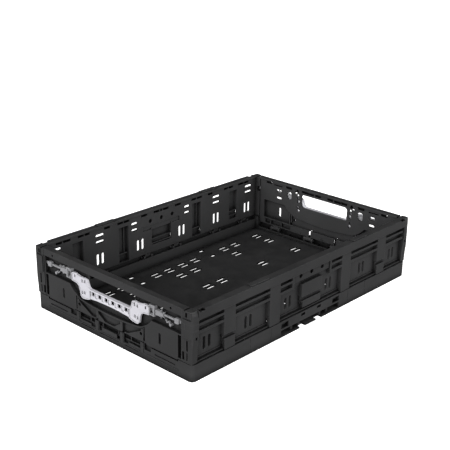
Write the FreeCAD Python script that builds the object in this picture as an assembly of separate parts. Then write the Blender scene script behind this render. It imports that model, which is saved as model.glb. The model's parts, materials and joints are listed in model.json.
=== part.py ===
import FreeCAD, Part
import math
import os
from FreeCAD import Vector as V

# Folding crate on the 600 x 400 mm footprint, low type.
# Millimetres. X runs along the 600 side, Y along the 400 side, Z up.
# Origin: centre of the footprint, on the flat underside of the floor.
os.makedirs("parts", exist_ok=True)

# ---------------------------------------------------------------- driving dimensions
L, W, H = 600.0, 400.0, 124.0        # outside, over the posts and stacking tabs
RAIL_TOP = 122.0                     # top of the rails, the tabs stand above it
BX, BY = 297.8, 197.8                # half size of the base at its skirt
BASE_R = 8.0                         # vertical corner radius of the base
POST_R = 8.0                         # vertical corner radius of the posts
SKIRT_TOP = 30.0
SKIRT_T = 2.5
FLOOR_T = 3.0
LEDGE_X, LEDGE_Y = 281.0, 181.0      # inner faces of the upstands round the floor
LEDGE_T = 2.5
LEDGE_END_TOP = 8.5                  # low upstand, under the folded end wall
LEDGE_LONG_TOP = 25.0                # high upstand along the long sides

INNER_Y, WEB_T = 187.0, 2.3          # long wall: inner face and plate thickness
LW_OUT = 197.2                       # long wall: outer face of the columns
LW_BOT = 31.0
POST_X, POST_Y = 285.0, 175.0        # corner post: inner corner
AX_LY, AX_LZ = 190.0, 27.0           # long wall hinge axis

INNER_X = 287.0                      # end wall: inner face
EW_OUT = 296.8                       # end wall: outer face
EW_Y = 174.6                         # end wall: half width between the posts
EW_BOT = 18.6                        # underside of the lower beam
AX_EX, AX_EZ = 289.0, 13.0           # end wall hinge axis
PIN_R = 2.0
RUN = 0.08                           # radial running clearance of the hinge pins
KN_R = 4.5                           # knuckle radius

LIFT = 8.0                           # travel of the grip bar, up
THROW = 8.0                          # travel of the bolts, towards the middle
BOLT_Z = 95.0
BOLT_TIP = 180.4                     # reach of the bolt into the corner post


# ---------------------------------------------------------------- helpers
def bx(x0, x1, y0, y1, z0, z1):
    x0, x1 = min(x0, x1), max(x0, x1)
    y0, y1 = min(y0, y1), max(y0, y1)
    z0, z1 = min(z0, z1), max(z0, z1)
    return Part.makeBox(x1 - x0, y1 - y0, z1 - z0, V(x0, y0, z0))


def symx(s):
    return [s, s.mirror(V(0, 0, 0), V(1, 0, 0))]


def symy(s):
    return [s, s.mirror(V(0, 0, 0), V(0, 1, 0))]


def fuse(lst):
    flat = []
    for s in lst:
        flat += s if isinstance(s, list) else [s]
    out = flat[0] if len(flat) == 1 else flat[0].multiFuse(flat[1:])
    return out.removeSplitter()


def flat(lst):
    out = []
    for s in lst:
        out += flat(s) if isinstance(s, list) else [s]
    return out


def cut(s, tools):
    tools = flat(tools)
    return s.cut(Part.Compound(tools)).removeSplitter() if tools else s


def poly_x(pts, x0, x1):
    """Prism of the (y, z) polygon between two X planes."""
    w = Part.makePolygon([V(x0, p[0], p[1]) for p in pts + pts[:1]])
    return Part.Face(w).extrude(V(x1 - x0, 0, 0))


def poly_y(pts, y0, y1):
    """Prism of the (x, z) polygon between two Y planes."""
    w = Part.makePolygon([V(p[0], y0, p[1]) for p in pts + pts[:1]])
    return Part.Face(w).extrude(V(0, y1 - y0, 0))


def slot_x(cy, cz, w, h, x0, x1):
    """Rounded slot through X, w wide (Y) and h high (Z)."""
    r = min(w, h) / 2 - 0.01
    b = bx(x0, x1, cy - w / 2, cy + w / 2, cz - h / 2, cz + h / 2)
    es = [e for e in b.Edges if abs(e.tangentAt(e.FirstParameter).x) > 0.99]
    return b.makeFillet(r, es)


def rbox_x(y0, y1, z0, z1, x0, x1, r):
    b = bx(x0, x1, y0, y1, z0, z1)
    es = [e for e in b.Edges if abs(e.tangentAt(e.FirstParameter).x) > 0.99]
    return b.makeFillet(r, es)


def rbox_y(x0, x1, z0, z1, y0, y1, r):
    b = bx(x0, x1, y0, y1, z0, z1)
    es = [e for e in b.Edges if abs(e.tangentAt(e.FirstParameter).y) > 0.99]
    return b.makeFillet(r, es)


def rbox_z(x0, x1, y0, y1, z0, z1, r):
    b = bx(x0, x1, y0, y1, z0, z1)
    es = [e for e in b.Edges if abs(e.tangentAt(e.FirstParameter).z) > 0.99]
    return b.makeFillet(r, es)


def cyl_y(r, x, z, y0, y1):
    return Part.makeCylinder(r, abs(y1 - y0), V(x, min(y0, y1), z), V(0, 1, 0))


def cyl_x(r, y, z, x0, x1):
    return Part.makeCylinder(r, abs(x1 - x0), V(min(x0, x1), y, z), V(1, 0, 0))


def inset(pts, t):
    """Outline moved inwards by t."""
    n = len(pts)
    area = sum(pts[i - 1][0] * pts[i][1] - pts[i][0] * pts[i - 1][1] for i in range(n))
    s = 1.0 if area > 0 else -1.0
    out = []
    for i in range(n):
        (x0, y0), (x1, y1), (x2, y2) = pts[i - 1], pts[i], pts[(i + 1) % n]
        la, lb = math.hypot(x1 - x0, y1 - y0), math.hypot(x2 - x1, y2 - y1)
        na = (-(y1 - y0) / la * s, (x1 - x0) / la * s)
        nb = (-(y2 - y1) / lb * s, (x2 - x1) / lb * s)
        k = t / (1.0 + na[0] * nb[0] + na[1] * nb[1])
        out.append((x1 + (na[0] + nb[0]) * k, y1 + (na[1] + nb[1]) * k))
    return out


NODES = {}


def put(name, shape):
    if shape.ShapeType == "Compound" and len(shape.Solids) == 1:
        shape = shape.Solids[0]
    NODES[name] = shape


# hinge stations: centres of the knuckles along each wall
END_ST = [36.0, 128.0]               # |y| on the end walls
LONG_ST = [40.0, 157.0, 246.0]       # |x| on the long walls
ST_HALF = 7.0                        # half width of a wall knuckle
EAR_T = 5.0

# ================================================================ base tray
outer = rbox_z(-BX, BX, -BY, BY, 0, SKIRT_TOP, BASE_R)
hollow = bx(-LEDGE_X, LEDGE_X, -LEDGE_Y, LEDGE_Y, FLOOR_T, 60)
# channel in each long side, between upstand and skirt
ch_long = symy(bx(-282.6, 282.6, LEDGE_Y + LEDGE_T, BY - SKIRT_T, FLOOR_T, 60))
# channel in each end, between the corner pillars
ch_end = symx(bx(LEDGE_X + LEDGE_T, BX - SKIRT_T, -175.3, 175.3, FLOOR_T, 60))
# lower the upstands
low_long = symy(bx(-LEDGE_X, LEDGE_X, LEDGE_Y - 1, LEDGE_Y + LEDGE_T + 1, LEDGE_LONG_TOP, 60))
low_end = symx(bx(LEDGE_X - 1, LEDGE_X + LEDGE_T + 1, -175.3, 175.3, LEDGE_END_TOP, 60))
base = cut(outer, [hollow, ch_long, ch_end, low_long, low_end])

# hinge ears of the base, long sides and ends
ears = []
for x in LONG_ST:
    for s in (-1, 1):
        a = x + s * (ST_HALF + 0.4)
        ear = bx(a, a + s * EAR_T, LEDGE_Y + LEDGE_T - 0.5, BY - SKIRT_T + 0.5, FLOOR_T - 0.5, AX_LZ + 2.8)
        ears += flat([symy(k) for k in symx(ear)])
for y in END_ST:
    for s in (-1, 1):
        a = y + s * (ST_HALF + 0.4)
        ear = bx(AX_EX, BX - SKIRT_T + 0.5, a, a + s * EAR_T, FLOOR_T - 0.5, AX_EZ + KN_R)
        rd = cyl_y(KN_R, AX_EX, AX_EZ, a, a + s * EAR_T)
        ft = bx(AX_EX - KN_R, AX_EX, a, a + s * EAR_T, FLOOR_T - 0.5, AX_EZ)
        for k in (ear, rd, ft):
            ears += flat([symy(j) for j in symx(k)])
# cross ribs in the channels
ribs = []
for x in (88.0, 112.0, 200.0, 224.0, 275.0):
    ribs += flat([symy(k) for k in symx(bx(x - 1, x + 1, LEDGE_Y + 1, BY - 1, FLOOR_T - 0.5, 19.5))])
for y in (12.0, 66.0, 90.0, 156.0):
    ribs += flat([symy(k) for k in symx(bx(LEDGE_X + 1, BX - 1, y - 1, y + 1, FLOOR_T - 0.5, 7.8))])
# buttress feet on the end skirts, in line with the buttress ribs of the end walls
for y in (32.0, 82.5):
    ribs += flat([symy(k) for k in symx(bx(BX - 1.0, BX + 0.8, y - 3.0, y + 3.0, 12.5, SKIRT_TOP))])
# ledge along the end skirts
ribs += symx(bx(BX - 1.0, BX + 0.8, -166.5, 166.5, 11.0, 12.6))
base = fuse([base, ears, ribs])
pins_cut = []
for x in LONG_ST:
    pins_cut += flat([symy(k) for k in symx(cyl_x(PIN_R + 0.03, AX_LY, AX_LZ, x - 14, x + 14))])
for y in END_ST:
    pins_cut += flat([symy(k) for k in symx(cyl_y(PIN_R + 0.03, AX_EX, AX_EZ, y - 14, y + 14))])

# slots of the floor: pairs of slots and single holes, the same in each quarter
fl = []


def pair(x, y):
    for d in (-5.5, 5.5):
        fl.append(rbox_z(x - 12, x + 12, y + d - 3.2, y + d + 3.2, -1, FLOOR_T + 1, 3.1))


for sx in (-1, 1):
    for sy in (-1, 1):
        for x in (19.0, 53.5, 140.5, 175.5, 244.5):
            pair(sx * x, sy * 145.5)
        for x in (19.0, 140.5, 244.5):
            pair(sx * x, sy * 110.0)
            pair(sx * x, sy * 36.5)
        for y in (136.5, 171.0):
            fl.append(rbox_z(sx * 97.5 - 7, sx * 97.5 + 7, sy * y - 4, sy * y + 4, -1, FLOOR_T + 1, 3.8))
# middle of each long skirt: hand recess along the foot, side openings, notches, seam lines
sk = []
for sx in (-1, 1):
    sk.append(bx(sx * 62, sx * 82, BY - SKIRT_T - 1, BY + 1, 16.5, 26.5))
    sk.append(bx(sx * 15, sx * 31, BY - 9, BY + 1, -1, 4.2))
    sk.append(bx(sx * 17, sx * 28, BY - SKIRT_T - 1, BY + 1, 22.5, 27.5))
    sk.append(bx(sx * 108.5, sx * 109.1, BY - 0.5, BY + 1, -1, 31))
    sk.append(bx(sx * 161.5, sx * 162.1, BY - 0.5, BY + 1, -1, 31))
sk.append(bx(-82, 82, BY - SKIRT_T - 1, BY + 1, FLOOR_T, 13.5))
# windows of the end skirts between the buttresses, open at the top, and slots in the foot
se = []
for y0, y1, z0 in ((-27.0, 27.0, 21.0), (37.0, 77.5, 17.5), (-77.5, -37.0, 17.5), (87.5, 103.0, 19.0), (-103.0, -87.5, 19.0),
                   (102.0, 166.5, 26.6), (-166.5, -102.0, 26.6),
                   (19.0, 27.0, 14.0), (-27.0, -19.0, 14.0), (37.0, 48.0, 14.0), (-48.0, -37.0, 14.0)):
    se.append(bx(BX - SKIRT_T - 1, BX + 1, y0, y1, z0, SKIRT_TOP + 1))
for y0, y1 in ((112, 160), (-160, -112)):
    se.append(bx(BX - 1.5, BX + 1, y0, y1, 17.5, 20.0))
for y0, y1 in ((-72, -38), (-24, 26), (40, 76)):
    se.append(bx(BX - 1.2, BX + 1, y0, y1, 8.4, 10.6))
base = cut(base, [pins_cut, fl, [symy(k) for k in sk], [symx(k) for k in se]])
put("base_tray", base)

# ================================================================ long wall, built at +Y
COL_B = (86.5, 113.0)
COL_A = (198.5, 225.0)
WIN = ((99.0, 106.0), (86.5, 94.0))   # the two rows of windows, z
RAIL_BOT = 106.0

DRAFT = 1.8                           # slope of the column cheeks
END_X = POST_X                        # the wall ends where the corner posts begin


def poly_z(pts, z0, z1):
    """Prism of the (x, y) polygon between two Z planes."""
    w = Part.makePolygon([V(q[0], q[1], z0) for q in pts + pts[:1]])
    return Part.Face(w).extrude(V(0, 0, z1 - z0))


def column(x0, x1, z0, z1, y1=LW_OUT, t=2.2, dr=DRAFT):
    """Hollow column, open towards the inside of the crate: two sloping cheeks and a face."""
    o = poly_z([(x0 - dr, INNER_Y), (x1 + dr, INNER_Y), (x1, y1), (x0, y1)], z0, z1)
    i = poly_z([(x0 - dr + t, INNER_Y - 1), (x1 + dr - t, INNER_Y - 1), (x1 - t, y1 - t), (x0 + t, y1 - t)], z0 - 1, z1 + 1)
    return o.cut(i)


def bay(x0, x1, z0, z1, y1=LW_OUT, t=2.2, dr=DRAFT):
    """The space inside a column, to clear the inner plate."""
    return poly_z([(x0 - dr + t, INNER_Y - 1), (x1 + dr - t, INNER_Y - 1), (x1 - t, y1 - t), (x0 + t, y1 - t)], z0, z1)


PLATE_BOT = 33.4
solid = []
# inner plate
solid.append(bx(-END_X, END_X, INNER_Y, INNER_Y + WEB_T, PLATE_BOT - 1.0, 112.5))
voids = []
# columns B and A, and the middle block: the plate is open behind them
for sx in (-1, 1):
    for (x0, x1), z0 in ((COL_B, PLATE_BOT), (COL_A, 60.5)):
        voids.append(bay(min(sx * x0, sx * x1), max(sx * x0, sx * x1), z0, 105.5))
voids.append(bay(-28.0, 28.0, 60.2, 81.3))
# set back below the finger slot
voids.append(bx(-50.0, 50.0, INNER_Y - 1, INNER_Y + 1.6, 81.0, 90.5))
# dark pockets: column A and middle block under their shelves
for sx in (-1, 1):
    voids.append(bx(sx * (COL_A[0] + 1.2), sx * (COL_A[1] - 1.2), INNER_Y - 1, 191.6, 42.0, 60.5))
voids.append(bx(-27.0, 27.0, INNER_Y - 1, 191.6, 47.0, 60.2))
plate = cut(fuse(solid), voids)

parts = [plate]
# top rail: top plate, outer plate, inner lip
parts.append(bx(-END_X, END_X, 185.6, 200.0, 119.6, RAIL_TOP))
parts.append(bx(-END_X, END_X, 197.6, 200.0, RAIL_BOT, RAIL_TOP))
parts.append(bx(-END_X, END_X, 185.6, 187.8, 118.2, RAIL_TOP))
# cross ribs under the top plate, and the webs between the pockets of the rail
for x in (4.0, 21.0, 37.0, 55.0, 72.0, 84.0, 100.0, 116.0, 133.0, 149.0, 168.0, 182.0, 196.0, 212.0, 227.0, 246.0, 262.0, 277.0):
    parts += symx(bx(x - 0.9, x + 0.9, INNER_Y + 0.2, 199.0, 108.0, 121.0))
for x0, x1 in ((21.0, 37.0), (55.0, 84.0), (116.0, 133.0), (149.0, 182.0), (212.0, 227.0), (262.0, 284.0)):
    parts += symx(bx(x0, x1, INNER_Y, INNER_Y + 1.8, 112.0, 119.9))
# floor of the rail
parts.append(bx(-END_X, END_X, INNER_Y + 1, 199.0, RAIL_BOT, RAIL_BOT + 2.0))
# horizontal strips across the windows, in the outer plane
for z0, z1 in ((94.2, 98.4), (81.4, 86.0)):
    parts += symx(bx(54.0, END_X, LW_OUT - 2.2, LW_OUT, z0, z1))
# columns
for x0, x1 in (COL_B, (-COL_B[1], -COL_B[0])):
    parts.append(column(x0, x1, LW_BOT, 107.0))
    parts.append(bx(x0 - 1, x1 + 1, INNER_Y + 2.6, LW_OUT - 1, 48.5, 50.3))
    parts.append(bx((x0 + x1) / 2 + 3.0, (x0 + x1) / 2 + 4.6, 192.0, LW_OUT - 1, 50.0, 107.0))
for x0, x1 in (COL_A, (-COL_A[1], -COL_A[0])):
    parts.append(column(x0, x1, 58.0, 107.0))
    # foot block
    parts += [bx(x0 + 1, x0 + 3.2, INNER_Y + 1, LW_OUT, LW_BOT, 51.0), bx(x1 - 3.2, x1 - 1, INNER_Y + 1, LW_OUT, LW_BOT, 51.0),
              bx(x0 + 1, x1 - 1, LW_OUT - 2.2, LW_OUT, LW_BOT, 51.0)]
    parts.append(bx(x0, x1, INNER_Y + 1, LW_OUT, 49.0, 51.0))
    parts.append(bx(x0, x1, INNER_Y + 1, LW_OUT, 58.6, 60.5))
    # back of the pocket between foot block and column
    parts.append(bx(x0, x1, 191.6, 193.4, 41.0, 60.5))
    parts += [bx(x0, x0 + 1.8, INNER_Y + 1, 193.4, 41.0, 60.5), bx(x1 - 1.8, x1, INNER_Y + 1, 193.4, 41.0, 60.5)]
    parts.append(bx(x0, x1, INNER_Y + 0.4, 193.4, 40.2, 42.0))
# thin posts beside the handle
parts += symx(bx(50.0, 55.0, INNER_Y + 1, LW_OUT, 80.0, 107.0))
# cover plate of the handle with its three holes, in front of the inner plate
parts.append(bx(-50.5, 50.5, 193.2, 195.2, 90.5, 107.0))
# middle block with its slot and ledge
parts.append(column(-28.0, 28.0, 58.6, 83.5, dr=1.0))
parts.append(bx(-28.0, 28.0, INNER_Y + 1.8, LW_OUT, 81.3, 83.5))
parts.append(bx(-28.0, 28.0, INNER_Y + 1, LW_OUT, 58.4, 60.2))
parts.append(bx(-28.0, 28.0, INNER_Y + 1, LW_OUT, 49.0, 51.0))
parts.append(bx(-28.0, 28.0, 191.6, 193.4, 46.0, 60.2))
parts += symx(bx(26.2, 28.0, INNER_Y + 1, 193.4, 46.0, 60.2))
parts.append(bx(-28.0, 28.0, INNER_Y + 0.4, 193.4, 45.2, 47.0))
parts += symx(bx(22.8, 25.0, INNER_Y + 1, LW_OUT, 38.0, 51.0))
parts.append(bx(-25.0, 25.0, LW_OUT - 2.2, LW_OUT, 38.0, 51.0))
# plate behind the finger slot, set back
parts.append(bx(-51.0, 51.0, INNER_Y + 1.6, INNER_Y + 3.4, 80.0, 91.5))
# foot rail of the wall, and the apron that closes the gap behind the upstand, between the knuckles
parts.append(bx(-END_X, END_X, INNER_Y + 1, 194.6, LW_BOT, PLATE_BOT))
for x0, x1 in ((0.0, 26.0), (54.0, 143.0), (171.0, 232.0), (260.0, 282.0)):
    parts += symx(bx(x0, x1, 191.0, 192.8, 20.5, LW_BOT + 1))
# frame lip round the lower panels
for x0, x1 in ((28.0, 85.0), (114.5, 197.0), (226.5, 283.0)):
    parts += symx(bx(x0, x1, INNER_Y + 1, INNER_Y + WEB_T + 1.2, 36.0, 37.8))
# stacking tabs
parts += symx(bx(117.0, 162.0, 188.0, 198.5, RAIL_TOP - 0.5, H))
# hinge knuckles of the wall
for x in LONG_ST:
    k = bx(x - ST_HALF, x + ST_HALF, AX_LY - 4.2, AX_LY + 4.2, AX_LZ, LW_BOT + 1)
    c = cyl_x(4.2, AX_LY, AX_LZ, x - ST_HALF, x + ST_HALF)
    parts += symx(k)
    parts += symx(c)
lw = fuse(parts)

c = []
# see-through slots of the inner plate
for x, w in ((72.0, 14.0), (159.0, 19.0), (260.0, 19.0)):
    for z in (104.0, 91.0):
        c += symx(rbox_y(x - w / 2 - 0.5, x + w / 2 + 0.5, z - 3.0, z + 3.0, 180, 190.5, 2.8))
for x in (57.0, 159.0, 257.0):
    for d in (-6.0, 6.0):
        c += symx(rbox_y(x + d - 3.2, x + d + 3.2, 45.0, 67.5, 180, 190.0, 3.0))
# three round holes of the handle
for x in (-30.0, 0.0, 30.0):
    c.append(Part.makeCylinder(4.2, 20, V(x, 180, 99.5), V(0, 1, 0)))
# small slits in the cheeks of the columns and of the middle block, by their feet
for x in (COL_B[1] + 1, -COL_B[1] - 1):
    c.append(bx(x - 3.5, x + 3.5, 189.8, 192.0, 38.5, 46.5))
for x in (COL_A[1] - 1, -COL_A[1] + 1, 27.0, -27.0):
    c.append(bx(x - 2.0, x + 2.0, 189.0, 191.2, 51.6, 58.0))
# notches in the top rail near the ends
c += symx(bx(271.0, 284.0, 194.0, 202.0, 119.0, 126.0))
# hinge pin holes
for x in LONG_ST:
    c += symx(cyl_x(PIN_R + RUN, AX_LY, AX_LZ, x - 12, x + 12))
lw = cut(lw, c)
put("far_long_wall", lw)
put("near_long_wall", lw.mirror(V(0, 0, 0), V(0, 1, 0)))

# ================================================================ corner post, built at +X +Y
# its profile leans out from the base to the rail, and its outer edge is rounded
pp = [poly_x([(POST_Y, LW_BOT), (195.8, LW_BOT), (196.6, 52.0), (198.8, 72.0), (200.0, 84.0), (200.0, 107.0),
              (198.8, 115.0), (196.6, RAIL_TOP), (POST_Y, RAIL_TOP)], POST_X, 298.0),
      # raised plate on the end face, and the cap of the rail
      rbox_x(177.5, 200.0, 75.0, 107.0, 297.0, 300.0, 1.2),
      bx(297.0, 299.2, 183.0, 196.6, 110.0, RAIL_TOP),
      bx(297.0, 298.8, 190.0, 197.0, 52.0, 76.0)]
post = fuse(pp)
# outer edge rounded, and leaning in below the raised plate
post = post.common(rbox_z(-H * 5, L / 2, -H * 5, W / 2, 0, H + 10, POST_R))
lean = poly_y([(298.0, 76.0), (302.0, 76.0), (302.0, 20.0), (297.2, 20.0), (297.6, 50.0)], 170, 202)
pc = [lean,
      # pocket for the bolt, open towards the inside of the crate
      bx(POST_X - 2, 296.6, POST_Y - 1, 182.4, BOLT_Z - 5.2, BOLT_Z + 5.2),
      # core of the post, and slots on its end face
      bx(287.6, 294.6, 185.0, 195.4, LW_BOT + 2.4, 86.0),
      bx(295.6, 303.0, 184.0, 188.0, 111.0, 119.0),
      bx(284.0, 303.0, 179.6, 183.4, 119.6, 130.0),
      bx(293.6, 303.0, 174.0, 180.0, 34.5, 49.5),
      bx(295.2, 303.0, 184.6, 188.2, 52.0, 71.0),
      bx(295.2, 303.0, 184.6, 187.2, 35.0, 49.0),
      bx(287.6, 291.4, 194.0, 203.0, 72.5, 78.0)]
post = cut(post, pc)
# kept as four solids that meet face to face round the bolt pocket
K0, K1 = BOLT_Z - 5.2, BOLT_Z + 5.2
post = Part.Compound([q.Solids[0] for q in (
    post.common(bx(280, 305, 170, 205, 0, K0)), post.common(bx(280, 305, 182.4, 205, K0, K1)),
    post.common(bx(280, 305, 170, 182.4, K0, K1)), post.common(bx(280, 305, 170, 205, K1, 200)))])
for nm, mx, my in (("far_left", 0, 0), ("far_right", 0, 1), ("near_left", 1, 0), ("near_right", 1, 1)):
    q = post
    if my:
        q = q.mirror(V(0, 0, 0), V(0, 1, 0))
    if mx:
        q = q.mirror(V(0, 0, 0), V(1, 0, 0))
    put(nm + "_corner_post", q)

# ================================================================ end wall, built at +X
PAN_Y0, PAN_Y1 = 88.0, 165.0          # lower framed panels, |y|
PAN_TOP = 76.0


def smile(y, top=0.0):
    """Height of the curved lower edge of the latch pocket."""
    a = abs(y)
    if a <= 76.0:
        return 48.5 + 4.8 * (a / 76.0) ** 2 + top
    for (y0, z0), (y1, z1) in zip(CURVE, CURVE[1:]):
        if a <= y1:
            return z0 + (z1 - z0) * (a - y0) / (y1 - y0) + top
    return CURVE[-1][1] + top


# the curved edge runs on up the inner side of each framed panel
CURVE = [(76.0, 53.3), (85.0, 57.6), (94.0, 63.0), (100.0, 68.4), (104.6, PAN_TOP - 2.2)]
ys = [-84.0 + 168.0 * i / 20 for i in range(21)]
yall = [-104.6, -100.0, -94.0, -89.0] + ys + [89.0, 94.0, 100.0, 104.6]
ep = []
# inner plate, from the curved edge and the tops of the panels to the rail
up = [(y, smile(y)) for y in yall]
inner = poly_x(up + [(EW_Y, PAN_TOP - 2.2), (EW_Y, 112.5), (-EW_Y, 112.5), (-EW_Y, PAN_TOP - 2.2)], INNER_X, INNER_X + WEB_T)
ep.append(inner)
# outer plate: lower middle and framed panels
lowp = poly_x([(y, smile(y, 1.5)) for y in ys] + [(84.0, LW_BOT), (-84.0, LW_BOT)], 290.8, 292.6)
ep.append(lowp)
pan = bx(EW_OUT - 2.2, EW_OUT, PAN_Y0, PAN_Y1, 33.0, PAN_TOP).fuse(bx(EW_OUT - 2.2, EW_OUT, 92.0, 163.5, 28.8, 34.0))
clear = poly_x([(84.0, smile(84.0, 1.0)), (89.0, smile(89.0, 1.0)), (94.0, smile(94.0, 1.0)), (100.0, smile(100.0, 1.0)),
                (104.6, smile(104.6, 1.0)), (104.6, 90.0), (80.0, 90.0), (80.0, 60.0)], 286, 300)
ep += symy(pan.cut(clear))
# curved band of the latch pocket, panel tops and cheeks, full depth
band = poly_x([(y, smile(y)) for y in yall] + [(y, smile(y, 2.6)) for y in reversed(yall)], INNER_X, EW_OUT)
ep.append(band)
ep += symy(bx(INNER_X, EW_OUT, 103.0, EW_Y, PAN_TOP - 2.2, PAN_TOP + 0.2))
ep += symy(bx(INNER_X, EW_OUT, 83.0, 85.4, 40.0, smile(83.0)))
ep += symy(bx(INNER_X, EW_OUT - 0.8, PAN_Y0, PAN_Y0 + 2.2, LW_BOT, smile(88.0)))
ep += symy(bx(INNER_X, EW_OUT - 0.8, PAN_Y1 - 2.2, PAN_Y1, LW_BOT, PAN_TOP))
# side edges
ep += symy(bx(INNER_X, EW_OUT, EW_Y - 2.4, EW_Y, LW_BOT, RAIL_TOP))
ep += symy(bx(INNER_X, INNER_X + WEB_T, PAN_Y1 - 1, EW_Y, LW_BOT, PAN_TOP))
# shelf above the skirt and lower beam inside the skirt
ep.append(bx(INNER_X, EW_OUT, -EW_Y, EW_Y, LW_BOT - 0.3, 33.2))
ep.append(bx(INNER_X, 289.4, -86.0, 86.0, EW_BOT, 32.0))
ep += symy(bx(291.4, 293.6, 84.0, 160.0, EW_BOT, 32.0))
ep += symy(bx(INNER_X, 293.6, 84.0, 86.0, EW_BOT, 32.0))
ep += symy(bx(INNER_X, 293.6, 158.0, 160.0, EW_BOT, 32.0))
ep += symy(bx(INNER_X, 289.4, 158.0, EW_Y, EW_BOT, 32.0))
ep.append(bx(INNER_X, 294.4, -EW_Y, EW_Y, EW_BOT, EW_BOT + 2.4))
for y in (20, 52, 84, 112, 142, 172):
    ep += symy(bx(INNER_X, 294.4, y - 1, y + 1, EW_BOT, 32.0))
# buttress ribs with sloping webs below the pocket
for y0, s in ((31.0, 1), (82.0, -1)):
    rib = bx(290.9, EW_OUT + 0.5, y0 - 2.6, y0 + 2.6, LW_BOT, 49.5 if y0 < 50 else 54.0)
    ep += symy(rib)
for y0, y1, z in ((8.0, 30.0, 45.0), (41.5, 81.0, 50.5)):
    web = poly_x([(y0, LW_BOT), (y1, LW_BOT), (y1, z)], EW_OUT - 2.0, EW_OUT + 0.2)
    ep += symy(web)
# top rail
ep.append(bx(285.6, EW_OUT + 0.8, -EW_Y, EW_Y, 119.6, RAIL_TOP))
ep.append(bx(EW_OUT - 1.6, EW_OUT + 0.8, -EW_Y, EW_Y, 109.0, RAIL_TOP))
ep.append(bx(285.6, 287.8, -EW_Y, EW_Y, 118.4, RAIL_TOP))
ep.append(bx(INNER_X + 0.5, EW_OUT, -EW_Y, EW_Y, 109.0, 111.0))
for y in (8.0, 24.0, 42.0, 60.0, 85.0, 103.0, 122.0, 141.0, 158.0):
    ep += symy(bx(INNER_X + 0.2, EW_OUT, y - 0.9, y + 0.9, 110.0, 121.0))
for y0, y1 in ((0.0, 8.0), (24.0, 42.0), (60.0, 85.0), (103.0, 141.0), (158.0, EW_Y)):
    ep += symy(bx(INNER_X, INNER_X + 1.8, y0, y1, 112.0, 119.9))
# frame round the hand opening
fr = rbox_x(-62.0, 62.0, 77.4, 111.0, INNER_X, INNER_X + 3.4, 8.0).cut(
    rbox_x(-59.4, 59.4, 80.0, 108.6, INNER_X - 1, INNER_X + 5, 6.0))
ep.append(fr)
# guide ribs for the grip bar, above the curved edge, behind the wings
for y in (66.0, 71.0):
    ep += symy(bx(INNER_X, INNER_X + WEB_T + 0.7, y - 0.8, y + 0.8, 56.0, 76.0))
# knuckles
for y in END_ST:
    ep += symy(bx(AX_EX - 2.0, AX_EX + KN_R, y - ST_HALF, y + ST_HALF, AX_EZ, EW_BOT + 2))
    ep += symy(cyl_y(KN_R, AX_EX, AX_EZ, y - ST_HALF, y + ST_HALF))
ew = fuse(ep)

c = []
# hand opening
c.append(rbox_x(-59.4, 59.4, 80.0, 108.6, 280, 292, 6.0))
# slots of the framed panels, and of the inner plate above them
for y in (121.0,):
    c += symy(slot_x(y + 2.0, 50.8, 5.6, 20.5, 280, 300))
    c += symy(slot_x(y, 101.3, 14.6, 7.0, 280, 290.6))
    c += symy(slot_x(y, 86.0, 13.4, 4.6, 280, 290.6))
# holes beside the hand opening
c += symy(rbox_x(86.0, 99.0, 90.0, 106.5, 280, 290.6, 5.0))
for z in (70.5, 91.0):
    c += symy(cyl_x(3.4, 67.0, z, 280, 290.6))
for z in (78.0, 99.0, 105.0):
    c += symy(cyl_x(2.4, 68.5, z, 280, 290.6))
c += symy(poly_x([(66.0, 112.0), (76.0, 106.5), (78.0, 110.5), (70.0, 118.0)], 280, 290.0))
# hook shaped slots and small holes low down
for y in (33.6, -33.6):
    c.append(slot_x(y, 25.2, 5.4, 15.0, 280, 300))
    c.append(poly_x([(y + 2.6, 29.0), (y - 2.0, 29.0), (y - 5.0, 33.4), (y - 2.4, 35.4)], 280, 300))
c += symy(cyl_x(1.5, 58.0, 21.6, 280, 300))
c += symy(cyl_x(1.5, 2.5, 21.6, 280, 300))
c += symy(cyl_x(3.2, 79.0, 44.5, 280, 300))
# pockets of the inner plate under the rail
for y0, y1, z0, z1 in ((26.0, 44.0, 112.4, 117.0), (8.5, 23.5, 113.6, 118.0), (86.0, 102.0, 113.0, 118.2), (112.0, 136.0, 112.0, 114.6)):
    c += symy(bx(284.0, 290.4, y0, y1, z0, z1))
# holes for the bolts through the side edges
c += symy(bx(290.1, 294.3, EW_Y - 4, EW_Y + 1, BOLT_Z - 3.2, BOLT_Z + 3.2))
# small hole in the rail face
c += symy(cyl_x(2.2, 150.0, 114.5, 293, 300))
# hinge pin holes
for y in END_ST:
    c += symy(cyl_y(PIN_R + RUN, AX_EX, AX_EZ, y - 12, y + 12))
ew = cut(ew, c)
# upper corners of the rail stay inside the rounded posts
put("far_end_wall", ew)
put("near_end_wall", ew.mirror(V(0, 0, 0), V(1, 0, 0)))

# ================================================================ latch, built at +X
# grip bar: arched bar with six windows, a wing at each end with an arm carrying the cam slot
G0, G1 = 292.9, 296.2                 # front layer: wings and arms
BAR_TOP = 81.0
low = [(-52.0 + 104.0 * i / 16) for i in range(17)]
bar = poly_x([(y, 66.0 - 2.6 * (y / 52.0) ** 2) for y in low] + [(52.0, BAR_TOP), (-52.0, BAR_TOP)], 290.4, 296.2)
WING = [(50.0, 63.0), (55.0, 60.8), (60.6, 59.6), (68.0, 58.8), (71.5, 59.4), (74.4, 62.0), (75.6, 66.0), (76.4, 70.5),
        (77.8, 75.5), (80.2, 79.6), (83.8, 82.4), (88.0, 83.4), (98.5, 84.4), (98.5, 97.2), (96.6, 99.4), (93.4, 100.4),
        (86.0, 100.4), (80.0, 98.6), (75.0, 97.6), (64.5, 98.2), (60.4, 97.4), (58.0, 95.0), (54.6, 84.0), (50.0, BAR_TOP)]
wing = poly_x(WING, G0, G1)
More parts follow.
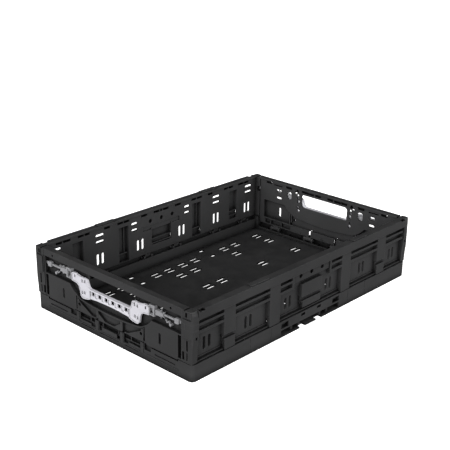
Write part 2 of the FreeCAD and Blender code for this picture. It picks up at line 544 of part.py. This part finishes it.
rear = poly_x([(50.0, 66.0), (64.0, 61.5), (64.0, 96.4), (59.6, 95.2), (54.8, 84.0), (50.0, BAR_TOP)], 290.4, G0 + 0.5)
# raised rim round each wing and along the bar
rim = poly_x(WING, G1 - 0.2, G1 + 0.7).cut(poly_x(inset(WING, 1.5), G1 - 1, G1 + 2))
rail = [bx(G1 - 0.2, G1 + 0.7, -52.0, 52.0, BAR_TOP - 2.0, BAR_TOP)]
grip = fuse([bar, symy(wing), symy(rear), symy(rim), rail])
gc = []
for y in (8.4, 25.2, 42.0):
    gc += symy(rbox_x(y - 4.0, y + 4.0, 71.0, 78.5, 288, 299, 1.0))
for y, z in ((63.4, 91.8), (70.4, 90.8), (64.2, 70.4), (70.6, 69.2)):
    gc += symy(rbox_x(y - 2.0, y + 2.0, z - 3.0, z + 3.0, 288, 299, 0.8))
# the bar is a shell, open at the back
gc.append(bx(288.0, 294.0, -50.2, 50.2, 68.6, 79.2))
# small window over the cam slot
gc += symy(rbox_x(88.5, 91.5, 91.6, 97.0, 293, 299, 1.3))
# thinner field between the windows
gc.append(bx(295.2, 299, -50.0, 50.0, 68.8, 79.0).cut(Part.Compound([bx(294, 300, y - 5.6, y + 5.6, 60, 90) for y in
                                                                     (-42.0, -25.2, -8.4, 8.4, 25.2, 42.0)])))


def capsule(y0, z0, y1, z1, r, x0, x1):
    dy, dz = y1 - y0, z1 - z0
    ln = math.hypot(dy, dz)
    ny, nz = -dz / ln * r, dy / ln * r
    p = poly_x([(y0 + ny, z0 + nz), (y1 + ny, z1 + nz), (y1 - ny, z1 - nz), (y0 - ny, z0 - nz)], x0, x1)
    return p.fuse([cyl_x(r, y0, z0, x0, x1), cyl_x(r, y1, z1, x0, x1)]).removeSplitter()


CAM_Y, CAM_Z = 93.0, 95.5
cam = capsule(CAM_Y, CAM_Z, CAM_Y - THROW, CAM_Z - LIFT, 2.35, 288, 294.8)
gc += symy(cam)
grip = cut(grip, gc)
put("far_grip_bar", grip)
put("near_grip_bar", grip.mirror(V(0, 0, 0), V(1, 0, 0)))

# bolt, built at +X +Y: tail behind the arm, cam peg, collar, barbed block, thin rod, square head and its tongue
b = [bx(289.8, 292.6, 88.0, 108.4, 91.6, 98.6),
     cyl_x(2.0, CAM_Y, CAM_Z, 292.0, 294.5),
     rbox_x(107.4, 125.0, 90.0, 98.8, 290.2, 295.8, 1.0),
     rbox_x(123.0, 131.0, 91.4, 97.8, 290.2, 295.8, 1.0),
     rbox_x(130.0, 158.0, 93.5, 96.5, 291.2, 294.3, 0.8),
     rbox_x(156.5, 165.8, 90.4, 99.4, 290.3, 295.9, 1.2),
     bx(290.7, 293.7, 165.0, BOLT_TIP, 92.4, 97.6)]
for pts in ([(122.4, 97.0), (126.4, 97.0), (125.2, 102.6)], [(127.4, 97.6), (130.6, 95.2), (134.4, 101.0)],
            [(122.4, 92.0), (126.4, 92.0), (125.0, 86.8)], [(127.4, 91.6), (130.6, 94.0), (133.6, 89.6)]):
    b.append(poly_x(pts, 291.4, 294.8))
bolt = fuse(b)
# clip: the window frame that holds the bolt to the wall, snapped into the inner plate
C0, C1 = 100.0, 112.0
cl = [bx(289.3, 296.4, C0, C1, 86.0, 89.5), bx(289.3, 296.4, C0, C1, 99.3, 105.0),
      bx(296.2, 297.4, C0, C0 + 1.4, 86.0, 105.0), bx(296.2, 297.4, C1 - 3.6, C1, 86.0, 105.0),
      bx(296.2, 297.4, C0, C1, 86.0, 87.8), bx(296.2, 297.4, C0, C1, 102.8, 105.0)]
clip = fuse(cl)
# return spring: a bent strip of the same plastic beside the barbed block, pegged to the wall at its foot
sp = [cyl_x(2.6, 145.6, 82.2, 289.3, 294.6)]
PATH = [(135.0, 88.2), (138.6, 84.2), (141.4, 87.2), (145.6, 82.2)]
for (a0, c0), (a1, c1) in zip(PATH, PATH[1:]):
    sp.append(capsule(a0, c0, a1, c1, 0.8, 291.0, 294.4))
spring = fuse(sp)

for nm, s in (("bolt", bolt), ("guide_clip", clip), ("spring", spring)):
    far_l = s                                              # +X, +Y
    far_r = s.mirror(V(0, 0, 0), V(0, 1, 0))
    put("far_left_" + nm, far_l)
    put("far_right_" + nm, far_r)
    put("near_left_" + nm, far_l.mirror(V(0, 0, 0), V(1, 0, 0)))
    put("near_right_" + nm, far_r.mirror(V(0, 0, 0), V(1, 0, 0)))

# ================================================================ hinge pins
pl = []
for x in LONG_ST:
    pl += symx(cyl_x(PIN_R, AX_LY, AX_LZ, x - 12.2, x + 12.2))
pl = Part.Compound(pl)
put("far_long_hinge_pins", pl)
put("near_long_hinge_pins", pl.mirror(V(0, 0, 0), V(0, 1, 0)))
pe = []
for y in END_ST:
    pe += symy(cyl_y(PIN_R, AX_EX, AX_EZ, y - 12.2, y + 12.2))
pe = Part.Compound(pe)
put("far_end_hinge_pins", pe)
put("near_end_hinge_pins", pe.mirror(V(0, 0, 0), V(1, 0, 0)))

# ================================================================ write
for name, s in NODES.items():
    bb = s.BoundBox
    print("%-24s solids %2d valid %s vol %10.1f cm3 %.1f  x %.1f %.1f y %.1f %.1f z %.1f %.1f" % (
        name, len(s.Solids), s.isValid(), s.Volume, s.Volume / 1000, bb.XMin, bb.XMax, bb.YMin, bb.YMax, bb.ZMin, bb.ZMax))
    s.exportStep("parts/" + name + ".step")
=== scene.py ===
import bpy
import json
import math
from mathutils import Matrix, Vector

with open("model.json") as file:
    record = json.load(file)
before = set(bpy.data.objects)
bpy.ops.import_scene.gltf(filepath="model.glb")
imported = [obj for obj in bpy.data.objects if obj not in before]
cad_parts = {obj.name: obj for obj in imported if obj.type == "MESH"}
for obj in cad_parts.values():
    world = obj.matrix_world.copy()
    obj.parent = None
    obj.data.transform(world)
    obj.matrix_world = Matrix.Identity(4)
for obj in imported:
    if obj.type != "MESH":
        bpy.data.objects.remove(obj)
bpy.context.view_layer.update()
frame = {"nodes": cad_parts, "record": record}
scene = bpy.context.scene
nodes = frame["nodes"]

TABLE_FILL, ROOM_FILL = 0.24, 0.01
FLOOR_GLOW = 1.0

# ------------------------------------------------------------------ camera
yaw, pitch, roll = 0.74825, 0.36209, 0.01327
d = Vector((math.cos(pitch) * math.cos(yaw), math.cos(pitch) * math.sin(yaw), -math.sin(pitch)))
r = d.cross(Vector((0, 0, 1))).normalized()
u = r.cross(d)
rr = r * math.cos(roll) + u * math.sin(roll)
uu = -r * math.sin(roll) + u * math.cos(roll)
cam_data = bpy.data.cameras.new("camera")
cam_data.sensor_width = 36.0
cam_data.lens = 949.974 / 450.0 * 36.0
cam_data.clip_end = 50.0
cam = bpy.data.objects.new("camera", cam_data)
scene.collection.objects.link(cam)
loc = Vector((0.13416, 0.13765, 0.060)) - d * 1.97539
cam.matrix_world = Matrix(((rr.x, uu.x, -d.x, loc.x), (rr.y, uu.y, -d.y, loc.y), (rr.z, uu.z, -d.z, loc.z), (0, 0, 0, 1)))
scene.camera = cam


# ------------------------------------------------------------------ node helpers
def new_mat(name):
    m = bpy.data.materials.new(name)
    m.use_nodes = True
    nt = m.node_tree
    nt.nodes.clear()
    out = nt.nodes.new("ShaderNodeOutputMaterial")
    b = nt.nodes.new("ShaderNodeBsdfPrincipled")
    nt.links.new(b.outputs["BSDF"], out.inputs["Surface"])
    return m, nt, b


def math_node(nt, op, a, b=None, clamp=False):
    n = nt.nodes.new("ShaderNodeMath")
    n.operation = op
    n.use_clamp = clamp
    for i, v in enumerate((a, b)):
        if v is None:
            continue
        if isinstance(v, (int, float)):
            n.inputs[i].default_value = v
        else:
            nt.links.new(v, n.inputs[i])
    return n.outputs[0]


def ramp(nt, src, lo, hi, a=0.0, b=1.0):
    n = nt.nodes.new("ShaderNodeMapRange")
    n.clamp = True
    nt.links.new(src, n.inputs[0])
    n.inputs[1].default_value = lo
    n.inputs[2].default_value = hi
    n.inputs[3].default_value = a
    n.inputs[4].default_value = b
    return n.outputs[0]


def noise(nt, vec, scale, detail=3.0, rough=0.55, dist=0.0):
    n = nt.nodes.new("ShaderNodeTexNoise")
    nt.links.new(vec, n.inputs["Vector"])
    n.inputs["Scale"].default_value = scale
    n.inputs["Detail"].default_value = detail
    n.inputs["Roughness"].default_value = rough
    n.inputs["Distortion"].default_value = dist
    return n.outputs[0]


def mapping(nt, vec, scale=(1, 1, 1), rot=(0, 0, 0)):
    n = nt.nodes.new("ShaderNodeMapping")
    nt.links.new(vec, n.inputs["Vector"])
    n.inputs["Scale"].default_value = scale
    n.inputs["Rotation"].default_value = rot
    return n.outputs[0]


def mix_col(nt, fac, a, b):
    n = nt.nodes.new("ShaderNodeMix")
    n.data_type = "RGBA"
    nt.links.new(fac, n.inputs[0])
    for sock, v in ((n.inputs[6], a), (n.inputs[7], b)):
        if isinstance(v, (tuple, list)):
            sock.default_value = (*v, 1.0)
        else:
            nt.links.new(v, sock)
    return n.outputs[2]


def moulded(name, base, worn, dusty, rough=0.42, grain=0.35, grain_scale=1150.0, scuff=0.5, edge_r=0.0007, ior=1.49, spec=0.5, shade_distance=0.016, shade_strength=1.0):
    """Injection moulded plastic: spark-eroded grain, flow variation, scuffs, rubbed edges and a little dust, plus
    painted shade that darkens the recesses.
    """
    m, nt, b = new_mat(name)
    tc = nt.nodes.new("ShaderNodeTexCoord")
    P = tc.outputs["Object"]
    geo = nt.nodes.new("ShaderNodeNewGeometry")
    # rounded edges, and a mask of where they are
    bev = nt.nodes.new("ShaderNodeBevel")
    bev.samples = 6
    bev.inputs["Radius"].default_value = edge_r
    bev2 = nt.nodes.new("ShaderNodeBevel")
    bev2.samples = 4
    bev2.inputs["Radius"].default_value = edge_r * 1.8
    dot = nt.nodes.new("ShaderNodeVectorMath")
    dot.operation = "DOT_PRODUCT"
    nt.links.new(bev2.outputs[0], dot.inputs[0])
    nt.links.new(geo.outputs["True Normal"], dot.inputs[1])
    edge = ramp(nt, dot.outputs["Value"], 0.995, 0.86)
    # large, medium and fine variation
    big = noise(nt, P, 9.0, 2.0, 0.5)
    mid = noise(nt, P, 60.0, 4.0, 0.6)
    fine = noise(nt, P, grain_scale, 2.0, 0.5)
    # rubbing marks: stretched noise in two directions
    s1 = noise(nt, mapping(nt, P, (18, 420, 420), (0.2, 0.35, 0.1)), 1.0, 3.0, 0.6, 0.3)
    s2 = noise(nt, mapping(nt, P, (520, 24, 420), (0.1, 0.1, 0.5)), 1.0, 3.0, 0.6, 0.3)
    sc = math_node(nt, "MAXIMUM", ramp(nt, s1, 0.66, 0.74), ramp(nt, s2, 0.67, 0.75))
    sc = math_node(nt, "MULTIPLY", sc, ramp(nt, mid, 0.42, 0.62))
    sc = math_node(nt, "MULTIPLY", sc, scuff)
    wear = math_node(nt, "MULTIPLY", edge, ramp(nt, mid, 0.30, 0.62, 0.35, 1.0))
    # dust on what faces up
    sep = nt.nodes.new("ShaderNodeSeparateXYZ")
    nt.links.new(geo.outputs["Normal"], sep.inputs[0])
    upf = ramp(nt, sep.outputs[2], 0.55, 1.0)
    dust = math_node(nt, "MULTIPLY", upf, ramp(nt, noise(nt, P, 35.0, 5.0, 0.62), 0.45, 0.72, 0.0, 0.5))
    c0 = mix_col(nt, ramp(nt, big, 0.3, 0.7), tuple(x * 0.88 for x in base), tuple(min(1.0, x * 1.12) for x in base))
    c1 = mix_col(nt, dust, c0, dusty)
    c2 = mix_col(nt, math_node(nt, "MULTIPLY", wear, 0.55), c1, worn)
    c3 = mix_col(nt, math_node(nt, "MULTIPLY", sc, 0.5), c2, worn)
    # painted shade in the recesses: ambient occlusion darkens the base colour towards 6% of it, and roughness rises
    # there
    ao = nt.nodes.new("ShaderNodeAmbientOcclusion")
    ao.samples = 6
    ao.inputs["Distance"].default_value = shade_distance
    occ = ramp(nt, ao.outputs["AO"], 0.46, 0.90, 1.0 - shade_strength, 1.0)
    c4 = mix_col(nt, occ, tuple(x * 0.06 for x in base), c3)
    nt.links.new(c4, b.inputs["Base Color"])
    rg = ramp(nt, mid, 0.25, 0.75, rough - 0.05, rough + 0.06)
    rg = math_node(nt, "SUBTRACT", rg, math_node(nt, "MULTIPLY", wear, 0.06))
    rg = math_node(nt, "ADD", rg, math_node(nt, "MULTIPLY", math_node(nt, "SUBTRACT", 1.0, occ), 0.55))
    rg = math_node(nt, "ADD", rg, math_node(nt, "MULTIPLY", dust, 0.25), clamp=True)
    nt.links.new(rg, b.inputs["Roughness"])
    b.inputs["IOR"].default_value = ior
    b.inputs["Specular IOR Level"].default_value = spec
    # grain over a very slight sink of the surface
    h = math_node(nt, "ADD", math_node(nt, "MULTIPLY", fine, 1.0), math_node(nt, "MULTIPLY", mid, 0.6))
    h = math_node(nt, "SUBTRACT", h, math_node(nt, "MULTIPLY", sc, 0.6))
    bump = nt.nodes.new("ShaderNodeBump")
    bump.inputs["Strength"].default_value = grain
    bump.inputs["Distance"].default_value = 0.00025
    nt.links.new(h, bump.inputs["Height"])
    nt.links.new(bev.outputs[0], bump.inputs["Normal"])
    nt.links.new(bump.outputs[0], b.inputs["Normal"])
    return m


def steel(name):
    m, nt, b = new_mat(name)
    tc = nt.nodes.new("ShaderNodeTexCoord")
    P = tc.outputs["Object"]
    n1 = noise(nt, mapping(nt, P, (1, 1, 1)), 700.0, 3.0)
    n2 = noise(nt, P, 40.0, 4.0)
    nt.links.new(mix_col(nt, ramp(nt, n2, 0.3, 0.7), (0.42, 0.42, 0.43), (0.62, 0.62, 0.63)), b.inputs["Base Color"])
    b.inputs["Metallic"].default_value = 1.0
    nt.links.new(ramp(nt, n1, 0.3, 0.7, 0.25, 0.45), b.inputs["Roughness"])
    bump = nt.nodes.new("ShaderNodeBump")
    bump.inputs["Strength"].default_value = 0.2
    bump.inputs["Distance"].default_value = 0.0001
    nt.links.new(n1, bump.inputs["Height"])
    nt.links.new(bump.outputs[0], b.inputs["Normal"])
    return m


BLACK = dict(worn=(0.060, 0.060, 0.062), dusty=(0.048, 0.0475, 0.047), spec=0.10)
MATS = {
    "tray_plastic": moulded("tray_plastic", (0.0262, 0.0262, 0.0267), rough=0.52, **BLACK),
    "wall_plastic": moulded("wall_plastic", (0.0268, 0.0268, 0.0273), rough=0.34, **BLACK),
    # for the grip and bolt, the last two arguments set the reach and strength of the painted shade in recesses
    "grip_plastic": moulded("grip_plastic", (0.415, 0.410, 0.440), (0.50, 0.495, 0.52), (0.37, 0.365, 0.38), rough=0.38, grain=0.22, scuff=0.25,
                            edge_r=0.0005, shade_distance=0.004, shade_strength=0.75),
    "bolt_plastic": moulded("bolt_plastic", (0.185, 0.185, 0.193), (0.24, 0.24, 0.25), (0.16, 0.16, 0.165), rough=0.38, grain=0.22, scuff=0.25,
                            edge_r=0.0004, shade_distance=0.006, shade_strength=0.8),
    "pin_steel": steel("pin_steel"),
}
for s in frame["record"]["subparts"]:
    o = nodes[s["node"]]
    o.data.materials.clear()
    o.data.materials.append(MATS[s["material_slot"]])

# ------------------------------------------------------------------ stage
me = bpy.data.meshes.new("floor")
S = 12.0
me.from_pydata([(-S, -S, -0.0003), (S, -S, -0.0003), (S, S, -0.0003), (-S, S, -0.0003)], [], [(0, 1, 2, 3)])
floor = bpy.data.objects.new("floor", me)
scene.collection.objects.link(floor)
fm, fnt, fb = new_mat("floor_mat")
fb.inputs["Base Color"].default_value = (0.80, 0.80, 0.80, 1)
fb.inputs["Roughness"].default_value = 0.7
fb.inputs["Specular IOR Level"].default_value = 0.2
fb.inputs["Emission Color"].default_value = (1.0, 1.0, 1.0, 1)
fb.inputs["Emission Strength"].default_value = FLOOR_GLOW
me.materials.append(fm)
# the bright floor is only a backdrop: it does not light the crate
floor.visible_diffuse = False
floor.visible_glossy = False

# what the crate mirrors and is filled by: a dim room, with a slightly brighter table below
world = bpy.data.worlds.new("world")
scene.world = world
world.use_nodes = True
wn = world.node_tree
bg = wn.nodes["Background"]
wtc = wn.nodes.new("ShaderNodeTexCoord")
wsep = wn.nodes.new("ShaderNodeSeparateXYZ")
wn.links.new(wtc.outputs["Generated"], wsep.inputs[0])
low = ramp(wn, wsep.outputs[2], -0.12, 0.05, TABLE_FILL, ROOM_FILL)
comb = wn.nodes.new("ShaderNodeCombineColor")
for i in range(3):
    wn.links.new(low, comb.inputs[i])
# the backdrop behind the crate stays as pale as the floor
lpath = wn.nodes.new("ShaderNodeLightPath")
wn.links.new(mix_col(wn, lpath.outputs["Is Camera Ray"], comb.outputs[0], (1.0, 1.0, 1.0)), bg.inputs[0])
bg.inputs[1].default_value = 1.0


def sun(name, azimuth, elevation, strength, angle):
    """Broad distant softbox, azimuth measured from +X towards +Y to where the light stands."""
    ld = bpy.data.lights.new(name, "SUN")
    ld.energy = strength
    ld.angle = math.radians(angle)
    o = bpy.data.objects.new(name, ld)
    scene.collection.objects.link(o)
    a, t = math.radians(azimuth), math.radians(elevation)
    v = Vector((math.cos(t) * math.cos(a), math.cos(t) * math.sin(a), math.sin(t)))
    o.rotation_euler = (-v).to_track_quat("-Z", "Y").to_euler()
    return o


sun("key", 222, 18, 2.55, 40)
sun("left", 182, 18, 2.9, 40)
sun("right", 265, 18, 1.25, 40)
sun("far_right", 310, 18, 1.85, 40)
sun("back_left", 130, 42, 1.15, 40)

scene.view_settings.view_transform = "Standard"
scene.view_settings.look = "None"
